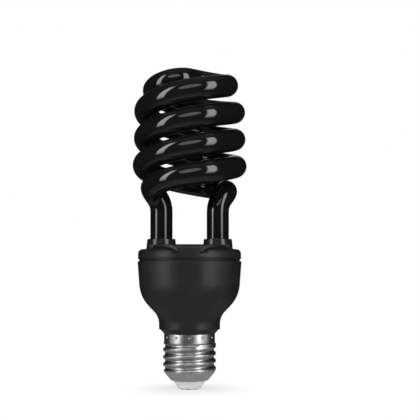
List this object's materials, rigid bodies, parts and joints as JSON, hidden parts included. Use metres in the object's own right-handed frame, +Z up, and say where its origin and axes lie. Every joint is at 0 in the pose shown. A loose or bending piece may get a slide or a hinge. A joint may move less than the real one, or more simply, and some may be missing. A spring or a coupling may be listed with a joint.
{
  "type": "black light bulb",
  "caption": "Spiral compact fluorescent black light bulb: black glass double spiral on a dark grey plastic ballast case with a nickel E27 screw cap.",
  "frame": {"origin": "middle of the end contact's flat face, on the lamp's axis", "axes": "+Z up the lamp's axis from the screw cap to the spiral, the tube's legs stand at +X and -X, and -Y is the front in the picture"},
  "size_m": [0.057, 0.0578, 0.16],
  "materials": {
    "black_glass": "glossy black filter glass, opaque when unlit",
    "case_plastic": "satin dark grey moulding",
    "shell_metal": "nickel-plated rolled sheet",
    "insulator_plastic": "light grey moulding",
    "contact_metal": "nickel-plated rivet",
    "tube_cement": "matt grey-white cement",
    "board_laminate": "tan paper laminate",
    "capacitor_sleeve": "dark shrink sleeve",
    "dipped_film": "red-brown dip",
    "component_black": "moulded black",
    "resistor_body": "tan lacquer",
    "signal_glass": "orange glass bead",
    "ferrite": "matt dark grey ferrite",
    "bobbin_plastic": "moulded black",
    "enamelled_copper": "enamelled copper wire",
    "live_insulation": "red wire insulation",
    "neutral_insulation": "black wire insulation",
    "tinned_wire": "tinned wire"
  },
  "bodies": {
    "root": {"spiral_tube": "black_glass", "ballast_cover": "case_plastic", "ballast_housing": "case_plastic", "left_tube_cement": "tube_cement", "right_tube_cement": "tube_cement", "screw_shell": "shell_metal", "base_insulator": "insulator_plastic", "centre_contact": "contact_metal", "circuit_board": "board_laminate", "bulk_capacitor": "capacitor_sleeve", "resonant_capacitor": "dipped_film", "coupling_capacitor": "dipped_film", "left_transistor": "component_black", "right_transistor": "component_black", "rectifier_diodes": "component_black", "resistors": "resistor_body", "trigger_diode": "signal_glass", "fuse_resistor": "resistor_body", "live_wire": "live_insulation", "neutral_wire": "neutral_insulation", "wrap_pins": "tinned_wire", "left_electrode_wires": "tinned_wire", "right_electrode_wires": "tinned_wire", "upper_choke_core": "ferrite", "lower_choke_core": "ferrite", "choke_bobbin": "bobbin_plastic", "choke_winding": "enamelled_copper", "toroid_core": "ferrite", "first_base_winding": "enamelled_copper", "second_base_winding": "enamelled_copper", "toroid_main_winding": "enamelled_copper"}
  },
  "joints": []
}
